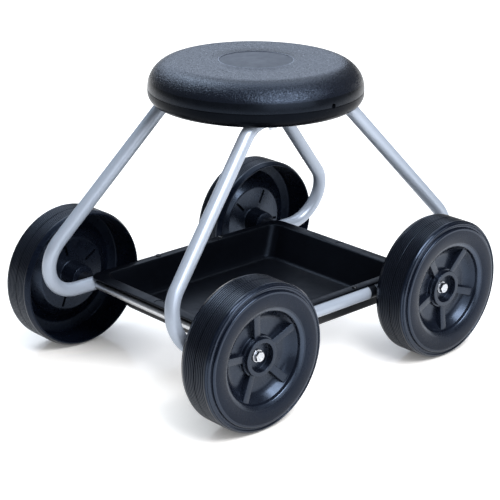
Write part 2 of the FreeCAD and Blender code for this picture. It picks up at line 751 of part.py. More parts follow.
def make_wheel(label, x, side, turn):
    body = new_body(label)
    tread_edge = wheel_half - size.tread_edge
    step_face = tread_edge + size.shoulder_drop
    step_radius = size.wheel_radius - size.shoulder_drop - size.shoulder_step
    groove_floor = step_face - size.side_groove_depth
    groove_end = step_radius - size.side_groove_width
    bore = size.bush_diameter / 2 + size.running_clearance

    # The crowned sidewall is one arc from its outer ring to the rolled lip
    ring_edge = groove_end - size.side_ring_draft
    ring_face = wheel_half - size.side_ring_drop
    lip_face = wheel_half - size.dish_depth
    side_width, side_fall = ring_edge - size.lip_radius, ring_face - lip_face
    side_chord_squared = side_width * side_width + side_fall * side_fall
    side_round = side_chord_squared / (size.side_crown * 8) + size.side_crown / 2

    # A steep rim wall below the lip runs out in a bowl that meets the flat web in a fillet
    rim_head = size.lip_radius - size.lip_roll_width
    rim_foot = rim_head - size.rim_draft
    rim_foot_face = wheel_half - size.rim_foot_depth
    web_front = wheel_half - size.web_depth
    web_back = web_front - size.web_wall
    bowl_knee = rim_foot - (rim_foot_face - web_front) / tangent(size.bowl_angle)
    bowl_reach = size.bowl_round * tangent(size.bowl_angle / 2)
    hub_foot_face = wheel_half - size.hub_foot_depth

    # The back follows the front, one wall behind it
    crown_back = (ring_edge + size.lip_radius) / 2
    trench_radius = size.wheel_radius - size.tyre_wall
    trench_foot = trench_radius - size.tyre_draft
    rim_middle = rim_foot_face - size.rim_wall / 2

    profile = new_sketch(body, f"{label}_profile", "XZ_Plane")
    draw_outline(profile, [
        (bore, -boss_end),
        (size.boss_radius, -boss_end),
        (size.boss_radius + size.boss_draft, web_back),
        (bowl_knee + size.rim_wall / 2, web_back),
        (rim_foot + size.rim_wall, rim_middle),
        (size.lip_radius + size.rim_wall, lip_face - size.tyre_wall),
        (crown_back, wheel_half - size.tyre_wall),
        (trench_foot, groove_floor - size.rim_wall),
        (trench_radius, -wheel_half),
        (size.wheel_radius - size.shoulder_drop, -wheel_half),
        (size.wheel_radius, -tread_edge),
        (size.wheel_radius, -size.tread_groove_width / 2),
        (size.wheel_radius - size.tread_groove_depth, ZERO),
        (size.wheel_radius, size.tread_groove_width / 2),
        (size.wheel_radius, tread_edge),
        (size.wheel_radius - size.shoulder_drop, step_face),
        (step_radius, step_face),
        (step_radius, groove_floor),
        (groove_end, groove_floor),
        (ring_edge, ring_face),
        (size.lip_radius, lip_face, side_round),
        (rim_head, lip_face - size.lip_roll_depth, size.lip_round),
        (rim_foot, rim_foot_face),
        (bowl_knee + bowl_reach * cosine(size.bowl_angle), web_front + bowl_reach * sine(size.bowl_angle)),
        (bowl_knee - bowl_reach, web_front, -size.bowl_round),
        (size.hub_foot_radius, web_front),
        (size.hub_foot_radius, hub_foot_face),
        (size.hub_radius, hub_foot_face),
        (size.hub_radius, hub_front),
        (size.hub_pocket_radius, hub_front),
        (size.hub_pocket_radius, pocket_floor),
        (bore, pocket_floor),
    ])
    revolve(body, profile)

    # Each spoke climbs and widens from the hub to the rim, is drafted in front and cored from the back
    spoke_start = (size.hub_radius + size.hub_pocket_radius) / 2
    spoke_end = rim_head + size.rim_wall / 4
    spoke_low, spoke_high = wheel_half - size.spoke_hub_depth, wheel_half - size.spoke_rim_depth
    web_middle = web_front - size.web_wall / 2

    def spoke_section(name, radius, foot):
        share = (radius - spoke_start) / (spoke_end - spoke_start)
        top = spoke_low + (spoke_high - spoke_low) * share
        half = (size.spoke_hub_width + (size.spoke_rim_width - size.spoke_hub_width) * share) / 2
        section = new_sketch(body, f"{label}_{name}", "YZ_Plane", radius)
        return draw_outline(section, [
            (-half - size.spoke_draft, foot),
            (half + size.spoke_draft, foot),
            (half, top),
            (-half, top),
        ])

    spoke = loft(body, "AdditiveLoft", spoke_section("spoke_at_hub", spoke_start, web_middle),
                 spoke_section("spoke_at_bowl", bowl_knee, web_middle),
                 spoke_section("spoke_at_rim", spoke_end, rim_middle))
    slot = new_sketch(body, f"{label}_spoke_slot", "XY_Plane", web_back)
    draw_outline(slot, [
        (size.spoke_slot_start, -size.spoke_slot_width / 2),
        (size.spoke_slot_end, -size.spoke_slot_width / 2),
        (size.spoke_slot_end, size.spoke_slot_width / 2),
        (size.spoke_slot_start, size.spoke_slot_width / 2),
    ])
    core = pocket(body, slot, spoke_low - size.spoke_slot_wall - web_back, along_normal=True)
    spokes = body.newObject("PartDesign::PolarPattern", f"{label}_spokes")
    spokes.Originals = [spoke, core]
    spokes.Axis = (profile, ["V_Axis"])
    spokes.Angle = 360.0
    spokes.Occurrences = int(size.spoke_count.number)
    bind(spokes, "Occurrences", size.spoke_count)
    body.Tip = spokes
    document.recompute()
    place_on_axle(body, x, side, turn)
    return body


def make_bush(label, x, side, turn):
    body = new_body(label)
    ring = new_sketch(body, f"{label}_ring", "XY_Plane", -boss_end)
    draw_circle(ring, ZERO, ZERO, size.bush_diameter / 2, "outside")
    draw_circle(ring, ZERO, ZERO, axle_radius + size.running_clearance, "bore")
    pad(body, ring, pocket_floor + boss_end)
    place_on_axle(body, x, side, turn)
    return body


nodes = [
    make_seat(),
    make_seat_inserts(),
    make_seat_bolts(),
    make_seat_washers(),
    make_side_frame("right_side_frame", half_turn=False),
    make_side_frame("left_side_frame", half_turn=True),
    make_rail_joint("right_rail_joint", -1),
    make_rail_joint("left_rail_joint", 1),
    make_tray(),
    make_tray_screws(),
    make_axle("front_axle", axle_x),
    make_axle("rear_axle", -axle_x),
    make_wheel_spacers(),
    make_axle_washers(),
    make_axle_bolts(),
]
wheel_places = {
    "front_right": (axle_x, -1, size.front_right_rest_angle),
    "front_left": (axle_x, 1, size.front_left_rest_angle),
    "rear_right": (-axle_x, -1, size.rear_right_rest_angle),
    "rear_left": (-axle_x, 1, size.rear_left_rest_angle),
}
for corner, (x, side, turn) in wheel_places.items():
    nodes.append(make_wheel(f"{corner}_wheel", x, side, turn))
    nodes.append(make_bush(f"{corner}_bush", x, side, turn))

document.recompute()
for item in document.Objects:
    if "Invalid" in item.State or "Error" in item.State:
        raise RuntimeError(f"{item.Label} failed: {item.State}")
for node in nodes:
    if node.Shape.isNull() or not node.Shape.isValid():
        raise RuntimeError(f"{node.Label} has no valid shape")

os.makedirs("parts", exist_ok=True)
for node in nodes:
    node.Shape.exportStep(f"parts/{node.Label}.step")
    print(node.Label, len(node.Shape.Solids), round(node.Shape.Volume / 1000, 1), "cm3")
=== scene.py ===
import math

import bmesh
import bpy
from mathutils import Matrix, Vector


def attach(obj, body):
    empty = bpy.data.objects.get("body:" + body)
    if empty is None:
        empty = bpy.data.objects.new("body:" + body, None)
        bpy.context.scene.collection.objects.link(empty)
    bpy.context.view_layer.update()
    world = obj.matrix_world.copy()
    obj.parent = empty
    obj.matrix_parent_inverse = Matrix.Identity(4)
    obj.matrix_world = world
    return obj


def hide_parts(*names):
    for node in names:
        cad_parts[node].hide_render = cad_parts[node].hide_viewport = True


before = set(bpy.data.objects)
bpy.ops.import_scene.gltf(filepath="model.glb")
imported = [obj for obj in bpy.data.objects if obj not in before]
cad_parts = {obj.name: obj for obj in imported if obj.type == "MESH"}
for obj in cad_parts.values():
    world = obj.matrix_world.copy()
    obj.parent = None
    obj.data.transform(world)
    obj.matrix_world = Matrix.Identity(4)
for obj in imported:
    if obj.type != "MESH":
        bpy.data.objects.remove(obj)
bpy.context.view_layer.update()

# The object's lengths are in millimetres, as in the part's source; floor and lights are in metres
MM = 0.001

AXLE_X, WHEEL_Y, AXLE_Z = 181.5, 192.0, 101.5
RAIL_Y, RAIL_END, LEAN = 143.6, 212.5, math.radians(12)
TUBE_RADIUS, BEND_RADIUS, TUBE_START, TUBE_END = 10.0, 53.5, 84.9, 98.1
TOP_RUN_END, TOP_RUN_RISE, TOP_RUN_Y = 63.25, 274.5, 86.53
SEAT_FLOOR, SEAT_TOP, SEAT_RADIUS = 368.1, 427.4, 150.8
PARTING_LEVEL, GRAIN_END, CHANNEL_ROOF, HOLE_LEVEL = 389.0, 403.0, 380.1, 391.2
BEAD_RADIUS, BEAD_HALF_WIDTH, DISC_DEPTH = 52.0, 0.7, 0.6
FLANGE_FLOOR, FLANGE_TOP, TRAY_FLOOR, TRAY_UNDER = 111.6, 114.6, 67.6, 64.6
FLANGE_X, FLANGE_Y, MARK_X, TRAY_WALL = 188.0, 147.6, 178.5, 3.0
END_WALL_X, END_DRAFT = 172.0, math.radians(26)
SIDE_WALL_Y, SIDE_DRAFT = 132.6, math.radians(14)
HUB_BOLT_Y, HUB_WASHER_Y = 201.9, 200.3
SEAT_BOLT_X, SEAT_BOLT_LEVEL, SEAT_WASHER_LEVEL = 50.0, 358.7, 359.9
SCREW_X, SCREW_Y = 62.0, 141.6

# Steps round a full turn, and degrees above which an edge is drawn sharp
WHEEL_STEPS, SEAT_STEPS, TUBE_STEPS, SMALL_STEPS, HOLE_STEPS = 180, 192, 40, 40, 24
HEX_STEPS, WASHER_STEPS = 48, 64
SHARP_ANGLE, HEX_SHARP_ANGLE = 32, 24


# Mesh helpers
def arc(centre, radius, start, end, steps):
    angles = [math.radians(start + (end - start) * i / steps) for i in range(steps + 1)]
    return [(centre[0] + radius * math.cos(a), centre[1] + radius * math.sin(a)) for a in angles]


def turns(count):
    """Cosine and sine of each step round a full turn."""
    return [(math.cos(math.tau * i / count), math.sin(math.tau * i / count)) for i in range(count)]


def round_corners(points, closed=True, steps=6):
    """Replaces each corner (x, y, radius) of a flat outline by an arc."""
    made = []
    count = len(points)
    for i, (x, y, radius) in enumerate(points):
        inside = closed or 0 < i < count - 1
        if radius <= 0 or not inside:
            made.append((x, y))
            continue
        corner = Vector((x, y))
        before = (Vector(points[i - 1][:2]) - corner).normalized()
        after = (Vector(points[(i + 1) % count][:2]) - corner).normalized()
        half = before.angle(after) / 2
        reach = radius / math.tan(half)
        middle = corner + (before + after).normalized() * (radius / math.sin(half))
        first, last = corner + before * reach - middle, corner + after * reach - middle
        turn = first.angle_signed(last)
        for step in range(steps + 1):
            swung = Matrix.Rotation(-turn * step / steps, 2) @ first
            made.append(tuple(middle + swung))
    return made


def add_rings(bm, rings, closed=False):
    """Joins rings of equal length, or single points, into a skin of faces."""
    following = rings[1:] + rings[:1] if closed else rings[1:]
    for low, high in zip(rings, following):
        for i in range(max(len(low), len(high))):
            face = [low[i % len(low)], low[(i + 1) % len(low)],
                    high[(i + 1) % len(high)], high[i % len(high)]]
            face = list(dict.fromkeys(face))
            if len(face) > 2:
                bm.faces.new(face)


def cap(bm, rings):
    """Closes the first and the last ring of a skin."""
    bm.faces.new(list(reversed(rings[0])))
    bm.faces.new(rings[-1])


def add_solid(bm, outlines):
    """Lays a closed skin through outlines of equal length."""
    rings = [[bm.verts.new(point) for point in outline] for outline in outlines]
    add_rings(bm, rings)
    cap(bm, rings)


def lathe(bm, profile, segments, closed=True):
    """Turns a profile of (radius, height) round local Z."""
    rings = []
    for radius, height in profile:
        if radius < 1e-6:
            rings.append([bm.verts.new((0, 0, height * MM))])
            continue
        rings.append([bm.verts.new((radius * MM * c, radius * MM * s, height * MM))
                      for c, s in turns(segments)])
    add_rings(bm, rings, closed)
    return rings


def rounded_rectangle(half_x, half_y, corner, height, steps=10):
    outline = round_corners([(half_x, -half_y, corner), (half_x, half_y, corner),
                             (-half_x, half_y, corner), (-half_x, -half_y, corner)], steps=steps)
    return [Vector((x * MM, y * MM, height * MM)) for x, y in outline]


def outward(x, y, turn):
    """Place on an axle with local Z away from the frame, turned by degrees."""
    side = 1 if y > 0 else -1
    place = Matrix.Translation(Vector((x, y, AXLE_Z)) * MM)
    upright = Matrix.Rotation(math.radians(-90 * side), 4, "X")
    return place @ upright @ Matrix.Rotation(math.radians(turn), 4, "Z")


def downward(x, y, height):
    """Place with local Z down, for what is fixed from below."""
    return Matrix.Translation(Vector((x, y, height)) * MM) @ Matrix.Rotation(math.pi, 4, "X")


def shade(mesh, angle=SHARP_ANGLE):
    for polygon in mesh.polygons:
        polygon.use_smooth = True
    mesh.set_sharp_from_angle(angle=math.radians(angle))


def make_object(name, bm, angle=SHARP_ANGLE):
    bmesh.ops.recalc_face_normals(bm, faces=bm.faces)
    mesh = bpy.data.meshes.new(name)
    bm.to_mesh(mesh)
    bm.free()
    shade(mesh, angle)
    made = bpy.data.objects.new(name, mesh)
    bpy.context.scene.collection.objects.link(made)
    return made


def carve(target, cutter):
    """Cuts one closed mesh out of another and drops the cutter."""
    modifier = target.modifiers.new("carve", "BOOLEAN")
    modifier.object = cutter
    modifier.operation = "DIFFERENCE"
    modifier.solver = "EXACT"
    seen = target.evaluated_get(bpy.context.evaluated_depsgraph_get())
    mesh = bpy.data.meshes.new_from_object(seen)
    old = target.data
    target.modifiers.clear()
    target.data = mesh
    bpy.data.meshes.remove(old)
    mesh.name = target.name
    bpy.data.meshes.remove(cutter.data)
    shade(mesh)


def merge(target, other):
    """Adds another object's mesh to the target's mesh."""
    bm = bmesh.new()
    bm.from_mesh(target.data)
    bm.from_mesh(other.data)
    bm.to_mesh(target.data)
    bm.free()
    bpy.data.meshes.remove(other.data)
    shade(target.data)


# Materials
class Surface:
    """A material whose nodes read object coordinates."""

    def __init__(self, name):
        self.material = bpy.data.materials.new(name)
        self.material.use_nodes = True
        self.tree = self.material.node_tree
        self.shader = self.tree.nodes["Principled BSDF"]
        self.place = self.tree.nodes.new("ShaderNodeTexCoord").outputs["Object"]

    def set(self, **values):
        for name, value in values.items():
            self.shader.inputs[name.replace("_", " ")].default_value = value
        return self

    def link(self, source, socket):
        self.tree.links.new(source, socket)

    def stretched(self, x, y, z):
        node = self.tree.nodes.new("ShaderNodeMapping")
        node.inputs["Scale"].default_value = (x, y, z)
        self.link(self.place, node.inputs["Vector"])
        return node.outputs["Vector"]

    def noise(self, period, detail=2.0, roughness=0.5, vector=None, distortion=0.0):
        node = self.tree.nodes.new("ShaderNodeTexNoise")
        node.inputs["Scale"].default_value = 1 / (period * MM)
        node.inputs["Detail"].default_value = detail
        node.inputs["Roughness"].default_value = roughness
        node.inputs["Distortion"].default_value = distortion
        self.link(vector or self.place, node.inputs["Vector"])
        return node.outputs["Fac"]

    def cells(self, period, feature):
        node = self.tree.nodes.new("ShaderNodeTexVoronoi")
        node.feature = feature
        node.inputs["Scale"].default_value = 1 / (period * MM)
        self.link(self.place, node.inputs["Vector"])
        return node.outputs["Distance"]

    def level(self):
        node = self.tree.nodes.new("ShaderNodeSeparateXYZ")
        self.link(self.place, node.inputs["Vector"])
        return node.outputs["Z"]

    def spread(self, value, low, high, start=0.3, end=0.7):
        node = self.tree.nodes.new("ShaderNodeMapRange")
        for name, number in (("From Min", start), ("From Max", end),
                             ("To Min", low), ("To Max", high)):
            node.inputs[name].default_value = number
        self.link(value, node.inputs["Value"])
        return node.outputs["Result"]

    def combine(self, first, second, operation="ADD"):
        node = self.tree.nodes.new("ShaderNodeMath")
        node.operation = operation
        for socket, value in zip(node.inputs, (first, second)):
            if isinstance(value, (int, float)):
                socket.default_value = value
            else:
                self.link(value, socket)
        return node.outputs["Value"]

    def colours(self, value, *stops):
        node = self.tree.nodes.new("ShaderNodeValToRGB")
        ramp = node.color_ramp.elements
        while len(ramp) < len(stops):
            ramp.new(0.5)
        for element, (position, colour) in zip(ramp, stops):
            element.position = position
            element.color = (*colour, 1)
        self.link(value, node.inputs["Fac"])
        return node.outputs["Color"]

    def bump(self, height, depth, below=None):
        node = self.tree.nodes.new("ShaderNodeBump")
        node.inputs["Distance"].default_value = depth * MM
        self.link(height, node.inputs["Height"])
        if below:
            self.link(below, node.inputs["Normal"])
        self.link(node.outputs["Normal"], self.shader.inputs["Normal"])
        return node.outputs["Normal"]

    def base(self, colour):
        self.link(colour, self.shader.inputs["Base Color"])
        return self

    def rough(self, value):
        self.link(value, self.shader.inputs["Roughness"])
        return self


def shaded(colour, factor):
    return tuple(channel * factor for channel in colour)


COOL_GLOSS = (0.55, 0.71, 1.0, 1)


def moulded_plastic(name, colour, rough, grain, depth, specular):
    """Satin moulded plastic: cloudy tone, flow marks and a fine eroded grain."""
    surface = Surface(name)
    cloud = surface.noise(38, 3, 0.55)
    surface.base(surface.colours(cloud, (0.3, shaded(colour, 0.86)), (0.7, shaded(colour, 1.16))))
    surface.rough(surface.spread(surface.noise(14, 4, 0.6), rough - 0.05, rough + 0.06))
    flow = surface.bump(surface.noise(9, 2), 0.05)
    surface.bump(surface.noise(grain, 3, 0.6), depth, flow)
    surface.set(Specular_IOR_Level=specular, Specular_Tint=COOL_GLOSS)
    return surface.material


def grained_plastic(name, colour, rough, depth, specular):
    """Leather-grained seat skin: pebbles parted by fine creases."""
    surface = Surface(name)
    cloud = surface.noise(45, 3, 0.55)
    surface.base(surface.colours(cloud, (0.3, shaded(colour, 0.9)), (0.7, shaded(colour, 1.12))))
    surface.rough(surface.spread(surface.noise(3, 3, 0.6), rough - 0.06, rough + 0.06))
    pebbles = surface.spread(surface.cells(2.8, "DISTANCE_TO_EDGE"), 0.0, 1.0, 0.0, 0.28)
    creases = surface.noise(2.0, 3, 0.6, distortion=0.6)
    height = surface.combine(pebbles, surface.combine(creases, 0.9, "MULTIPLY"))
    fade = surface.spread(surface.level(), 0.0, 1.0, (GRAIN_END - 1) * MM, (GRAIN_END + 6) * MM)
    worn = surface.spread(surface.level(), 1.0, 0.45, (SEAT_TOP - 9) * MM, (SEAT_TOP - 1) * MM)
    fade = surface.combine(fade, worn, "MULTIPLY")
    soft = surface.bump(surface.noise(16, 2), 0.12)
    surface.bump(surface.combine(height, fade, "MULTIPLY"), depth, soft)
    surface.set(Specular_IOR_Level=specular, Specular_Tint=COOL_GLOSS)
    return surface.material


def painted_tube(name, colour):
    """Silver enamel on steel tube: fine flake and faint orange peel."""
    surface = Surface(name)
    flake = surface.noise(2.5, 3, 0.7)
    surface.base(surface.colours(flake, (0.3, shaded(colour, 0.975)), (0.7, shaded(colour, 1.02))))
    surface.rough(surface.spread(surface.noise(18, 3, 0.6), 0.31, 0.37))
    surface.bump(surface.noise(4.5, 1), 0.004)
    surface.set(Metallic=0.3, Specular_IOR_Level=0.3)
    return surface.material


def plated_steel(name, colour, low, high, scratch=0.01):
    """Plated steel with a fine mottled finish and hair scratches."""
    surface = Surface(name)
    mottle = surface.noise(3.2, 4, 0.65)
    surface.base(surface.colours(mottle, (0.3, shaded(colour, 0.86)), (0.7, shaded(colour, 1.08))))
    surface.rough(surface.spread(surface.noise(1.2, 4, 0.65), low, high))
    surface.bump(surface.noise(1.0, 3, 0.7, surface.stretched(1, 1, 0.15)), scratch)
    surface.set(Metallic=1.0)
    return surface.material


SEAT_GRAIN = grained_plastic("seat_grain", (0.004, 0.005, 0.0085), 0.29, 0.21, 0.38)
SEAT_DISC = moulded_plastic("seat_disc", (0.005, 0.0065, 0.011), 0.38, 0.8, 0.01, 0.28)
# The seat's bead is a real raised ring, but its colour is several times lighter than the seat's and
# its reflection full: a painted glint along the ring.
SEAT_BEAD_PAINTED_GLINT = moulded_plastic("seat_bead_painted_glint", (0.03, 0.036, 0.05), 0.25, 0.8, 0.01, 1.0)
# Below the grain the seat is smooth; its darker colour and weaker reflection there, weakest below
# the parting line, are painted shade on the seat's lower side.
SEAT_BAND_PAINTED_SHADE = moulded_plastic("seat_band_painted_shade", (0.0022, 0.0027, 0.004), 0.28, 0.8, 0.008, 0.22)
SEAT_RIM_PAINTED_SHADE = moulded_plastic("seat_rim_painted_shade", (0.0022, 0.0027, 0.004), 0.30, 0.8, 0.01, 0.05)
WHEEL_PLASTIC = moulded_plastic("wheel_plastic", (0.0032, 0.0050, 0.0108), 0.28, 0.7, 0.010, 0.21)
HUB_PLASTIC = moulded_plastic("hub_plastic", (0.0038, 0.0052, 0.0098), 0.27, 0.7, 0.010, 0.50)
# The lip's copy of the hub plastic, same colour but far stronger reflection: a painted highlight on
# the lip's roll.
LIP_PLASTIC_PAINTED_HIGHLIGHT = moulded_plastic("lip_painted_highlight", (0.0038, 0.0052, 0.0098), 0.27, 0.7, 0.010, 0.85)
# The shoulder ring's copy of the wheel plastic: smoother, and far more reflective than the
# sidewall; the stronger reflection is a painted highlight along its edges.
RING_PLASTIC_PAINTED_HIGHLIGHT = moulded_plastic("ring_painted_highlight", (0.0036, 0.0050, 0.0100), 0.20, 0.7, 0.006, 0.55)
TREAD_PLASTIC = moulded_plastic("tread_plastic", (0.0036, 0.0045, 0.0075), 0.32, 0.7, 0.008, 0.28)
TRAY_PLASTIC = moulded_plastic("tray_plastic", (0.0016, 0.0020, 0.0034), 0.36, 0.6, 0.014, 0.10)
BLACK_PLASTIC = moulded_plastic("black_plastic", (0.008, 0.009, 0.012), 0.40, 0.6, 0.012, 0.3)
TUBE_PAINT = painted_tube("tube_paint", (0.38, 0.428, 0.508))
ZINC = plated_steel("zinc_plate", (0.50, 0.52, 0.56), 0.20, 0.34)
AXLE_STEEL = plated_steel("axle_steel", (0.52, 0.53, 0.55), 0.28, 0.42)
SCREW_STEEL = plated_steel("black_screw", (0.045, 0.047, 0.052), 0.34, 0.48)
BRASS = plated_steel("insert_brass", (0.70, 0.53, 0.26), 0.25, 0.38)


def paint(mesh, materials, zone=None):
    """Gives each face the material of the zone that its middle lies in."""
    mesh.materials.clear()
    for material in materials:
        mesh.materials.append(material)
    if zone:
        for polygon in mesh.polygons:
            polygon.material_index = materials.index(zone(polygon.center / MM))


def dress(piece, slot, body, *nodes):
    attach(piece, body)
    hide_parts(*nodes)


# Wheels
TREAD_RADIUS, RIBS_END = 101.5, 18.4
RIB_PITCH, RIB_GROOVE, RIB_DEPTH = 3.27, 1.7, 1.5
MIDDLE_GROOVE, MIDDLE_DEPTH = 2.5, 2.4
SPOKE_COUNT, SPOKE_DRAFT, SPOKE_EDGE = 5, 1.5, 0.6
# Radius, foot, top and half width of a spoke at its inner end, its bend and its outer end
SPOKE_SECTIONS = ((22.85, 5.0, 12.8, 4.9), (51.9, 5.0, 16.65, 5.3), (66.4, 15.1, 18.6, 5.55))
# Radii at which the wheel's material changes, including the lip and ring zones that carry painted
# highlights
LIP_INSIDE, LIP_OUTSIDE, BOWL_REACH, RING_REACH, TREAD_REACH = 63.8, 68.5, 70.5, 89.5, 98.9
LIP_FLOOR, RING_FLOOR, TREAD_HALF_WIDTH = 20.0, 22.0, 20.1


def tread_profile():
    """Line across the tread from inner to outer shoulder, with ribs and a parting groove."""
    points = [(TREAD_RADIUS, -RIBS_END)]
    for number in range(-5, 6):
        middle = number * RIB_PITCH
        depth, width = (MIDDLE_DEPTH, MIDDLE_GROOVE) if number == 0 else (RIB_DEPTH, RIB_GROOVE)
        for side, level in ((-0.5, 0.0), (-0.38, 0.25), (-0.25, depth),
                            (0.25, depth), (0.38, 0.25), (0.5, 0.0)):
            points.append((TREAD_RADIUS - level, middle + side * width))
    return points + [(TREAD_RADIUS, RIBS_END)]


def wheel_profile():
    """Section of (radius, width): hollow back, tread, shoulder ring, sidewall, lip and bowl."""
    shoulder_in = round_corners([(95.5, -26, 0), (95.5, -28, 0.9), (98.0, -28, 1.6),
                                 (TREAD_RADIUS, -21.0, 3.0), (TREAD_RADIUS, -19.2, 0)],
                                closed=False)
    sidewall = arc((84.0, -26.0), 54.0, 85.1, 102.8, 24)
    shoulder_out = round_corners([(TREAD_RADIUS, 19.2, 0), (TREAD_RADIUS, 21.0, 2.6),
                                  (100.0, 23.2, 0.3), (99.2, 22.8, 0.3), (99.2, 25.6, 1.7),
                                  (96.5, 25.3, 0.6), (96.1, 24.1, 0.4), (95.3, 24.5, 0.5),
                                  (93.4, 24.4, 0.4), (92.8, 23.4, 0.3), (92.3, 27.8, 2.1),
                                  sidewall[0] + (0,)], closed=False)
    bowl = round_corners([sidewall[-1] + (0,), (68.34, 25.82, 19.8), (64.29, 23.08, 3.0),
                          (62.9, 18.8, 0.8), (53.0, 7.0, 16.0), (28.7, 7.0, 1.0), (28.4, 12.4, 0.4),
                          (26.0, 12.4, 0.5), (26.0, 18.0, 0.7), (19.7, 18.0, 0.7), (19.7, 8.0, 0.5),
                          (8.05, 8.0, 0)], closed=False, steps=10)
    back = round_corners([(8.05, -24.0, 0), (18.5, -24.0, 0.8), (20.5, 3.0, 1.5), (54.15, 3.0, 6.0),
                          (66.3, 13.05, 3.0), (69.0, 16.5, 2.0), (78.25, 22.0, 6.0),
                          (94.0, 18.0, 3.0), (95.5, -26.0, 0)], closed=False)
    return back[:-1] + shoulder_in + tread_profile() + shoulder_out + sidewall[1:] + bowl[1:]


def spoke_turns():
    return [Matrix.Rotation(math.tau * number / SPOKE_COUNT, 4, "Z")
            for number in range(SPOKE_COUNT)]


def spoke_mesh(bm):
    """Drafted spokes from the hub to the rim wall, with softened top edges."""
    for turn in spoke_turns():
        outlines = []
        for radius, foot, top, half in SPOKE_SECTIONS:
            section = round_corners([(-half - SPOKE_DRAFT, foot, 0), (half + SPOKE_DRAFT, foot, 0),
                                     (half, top, SPOKE_EDGE), (-half, top, SPOKE_EDGE)], steps=3)
            outlines.append([turn @ Vector((radius * MM, y * MM, z * MM)) for y, z in section])
        add_solid(bm, outlines)


def slot_cutter():
    """Slots that core the spokes from the back."""
    outline = round_corners([(29.0, -2.0, 0.8), (51.0, -2.0, 0.8),
                             (51.0, 2.0, 0.8), (29.0, 2.0, 0.8)], steps=3)
    bm = bmesh.new()
    for turn in spoke_turns():
        add_solid(bm, [[turn @ Vector((x * MM, y * MM, height * MM)) for x, y in outline]
                       for height in (1.0, 8.8)])
    return make_object("slot_cutter", bm)


def wheel_zone(place):
    """Finish of the wheel at a place, with the axle along local Z."""
    reach = math.hypot(place.x, place.y)
    if reach < BOWL_REACH:
        # The lip's roll takes the painted highlight.
        on_lip = LIP_INSIDE < reach < LIP_OUTSIDE and place.z > LIP_FLOOR
        return LIP_PLASTIC_PAINTED_HIGHLIGHT if on_lip else HUB_PLASTIC
    # The shoulder ring takes the painted highlight lines.
    if reach > RING_REACH and place.z > RING_FLOOR:
        return RING_PLASTIC_PAINTED_HIGHLIGHT
    on_tread = reach > TREAD_REACH and abs(place.z) < TREAD_HALF_WIDTH
    return TREAD_PLASTIC if on_tread else WHEEL_PLASTIC


def make_wheel_mesh():
    bm = bmesh.new()
    lathe(bm, wheel_profile(), WHEEL_STEPS)
    body = make_object("wheel_shape", bm)
    carve(body, slot_cutter())
    bm = bmesh.new()
    spoke_mesh(bm)
    spokes = make_object("wheel_spokes", bm)
    carve(spokes, slot_cutter())
    merge(body, spokes)
    mesh = body.data
    bpy.data.objects.remove(body)
    paint(mesh, (WHEEL_PLASTIC, TREAD_PLASTIC, HUB_PLASTIC, RING_PLASTIC_PAINTED_HIGHLIGHT, LIP_PLASTIC_PAINTED_HIGHLIGHT), wheel_zone)
    return mesh


def place_wheels():
    mesh = make_wheel_mesh()
    # Body, end, side and the turn of its spokes in degrees
    places = (("front_right", 1, -1, 52.85), ("front_left", 1, 1, 8.0),
              ("rear_right", -1, -1, 26.75), ("rear_left", -1, 1, 40.0))
    for name, end, side, turn in places:
        wheel = bpy.data.objects.new(f"{name}_moulded_wheel", mesh.copy())
        bpy.context.scene.collection.objects.link(wheel)
        wheel.data.transform(outward(end * AXLE_X, side * WHEEL_Y, turn))
        dress(wheel, "wheel_plastic", name, f"{name}_wheel")


place_wheels()


# Seat
def seat_zone(place):
    """Material of the seat at a place: painted shade low on its side, a painted glint on the bead.
    """
    reach = math.hypot(place.x, place.y)
    if place.z > SEAT_TOP - 1 and reach < BEAD_RADIUS + BEAD_HALF_WIDTH:
        # The bead's faces take the painted glint.
        return SEAT_DISC if reach < BEAD_RADIUS - BEAD_HALF_WIDTH else SEAT_BEAD_PAINTED_GLINT
    # Below the grain the lower side takes the painted shade.
    if place.z < PARTING_LEVEL:
        return SEAT_RIM_PAINTED_SHADE
    return SEAT_BAND_PAINTED_SHADE if place.z < GRAIN_END else SEAT_GRAIN


def seat_profile():
    """Section of (radius, height) from the middle of the floor to the middle of the top."""
    disc_level = SEAT_TOP - DISC_DEPTH
    lower = [(0, SEAT_FLOOR), (60, SEAT_FLOOR), (120, SEAT_FLOOR)] \
        + arc((134.8, 384.1), 16, -90, 0, 10) + [(SEAT_RADIUS, 388.1)]
    parting_line = [(150.35, 388.5), (150.35, 389.1)]
    upper = [(SEAT_RADIUS, 389.5)] + arc((112.8, 389.4), 38, 2, 90, 24)
    bead = [(80, SEAT_TOP), (BEAD_RADIUS + 1.0, SEAT_TOP), (BEAD_RADIUS + 0.5, SEAT_TOP + 0.15),
            (BEAD_RADIUS - 0.5, SEAT_TOP + 0.15), (BEAD_RADIUS - 1.1, SEAT_TOP - 0.25),
            (BEAD_RADIUS - 1.7, disc_level), (BEAD_RADIUS - 2.6, disc_level)]
    return lower + parting_line + upper + bead + [(reach, disc_level) for reach in (48, 20, 0)]


def channel_cutter():
    """Channels in the seat's underside for the top runs of the tubes."""
    bm = bmesh.new()
    for side in (-1, 1):
        outlines = [rounded_rectangle(103.2, 10.5, 9.5, height)
                    for height in (SEAT_FLOOR - 2, CHANNEL_ROOF)]
        for outline in outlines:
            for point in outline:
                point.y += side * TOP_RUN_Y * MM
        add_solid(bm, outlines)
    return make_object("channel_cutter", bm)


def hole_cutter():
    """Flared mouth of the blow hole in the seat's edge."""
    bm = bmesh.new()
    outlines = []
    for reach, radius in ((146.3, 2.4), (149.4, 3.2), (154.0, 4.4)):
        outlines.append([Vector((radius * c, -reach, HOLE_LEVEL + radius * s)) * MM
                         for c, s in turns(HOLE_STEPS)])
    add_solid(bm, outlines)
    return make_object("hole_cutter", bm)


